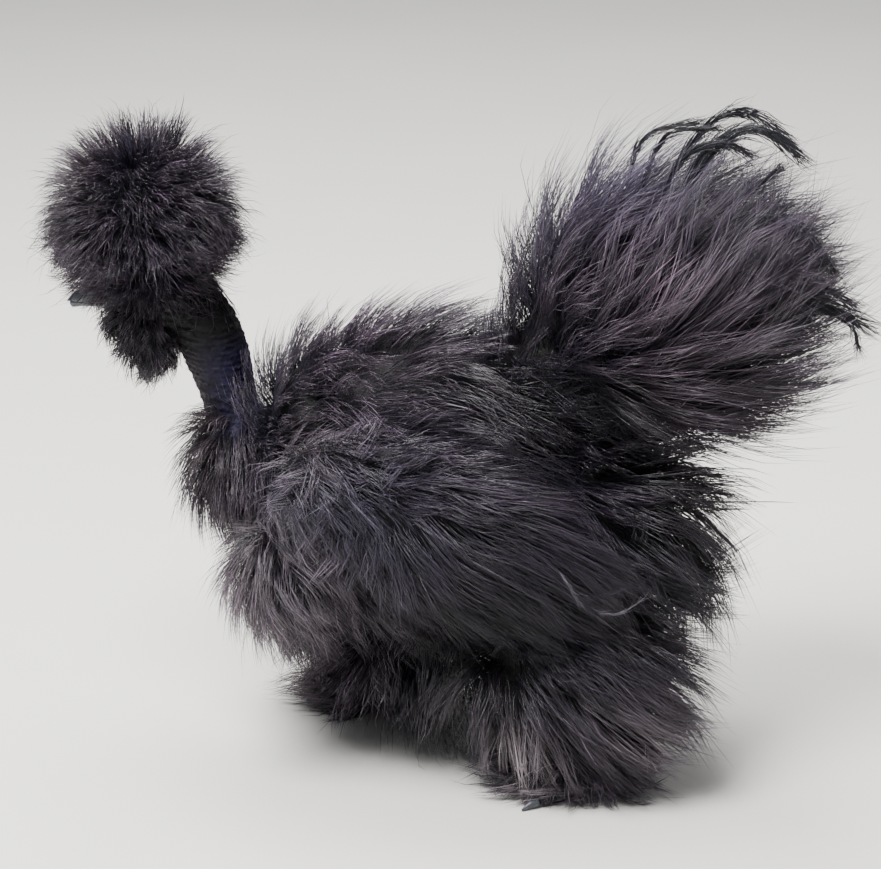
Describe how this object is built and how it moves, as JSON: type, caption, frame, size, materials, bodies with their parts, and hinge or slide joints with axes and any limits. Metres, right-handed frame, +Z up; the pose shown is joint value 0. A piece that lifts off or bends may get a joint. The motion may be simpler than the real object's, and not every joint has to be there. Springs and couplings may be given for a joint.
{
  "type": "silkie chicken",
  "caption": "Black bare-necked silkie chicken of bantam size, standing, as a still life-size museum model.",
  "frame": {"origin": "on the floor, under the middle of the bird's box", "axes": "+Z up; the bird faces -Y, so +Y runs along its body to the tail; +X is its left side"},
  "size_m": [0.1746, 0.3767, 0.3135],
  "materials": {
    "plumage": "soft black silky down with a brown and slate cast",
    "skin": "dark mulberry skin, finely wrinkled",
    "horn": "slate horn, satin",
    "eye": "black, wet gloss"
  },
  "bodies": {
    "root": {"beak_lower": "horn", "beak_upper": "horn", "beard": "plumage", "claw_left_extra": "horn", "claw_left_hind": "horn", "claw_left_inner": "horn", "claw_left_middle": "horn", "claw_left_outer": "horn", "claw_right_extra": "horn", "claw_right_hind": "horn", "claw_right_inner": "horn", "claw_right_middle": "horn", "claw_right_outer": "horn", "comb": "skin", "crest": "plumage", "eye_left": "eye", "eye_right": "eye", "foot_left": "skin", "foot_right": "skin", "head": "skin", "leg_left": "plumage", "leg_right": "plumage", "neck": "skin", "tail": "plumage", "torso": "plumage", "wing_left": "plumage", "wing_right": "plumage"}
  },
  "joints": []
}
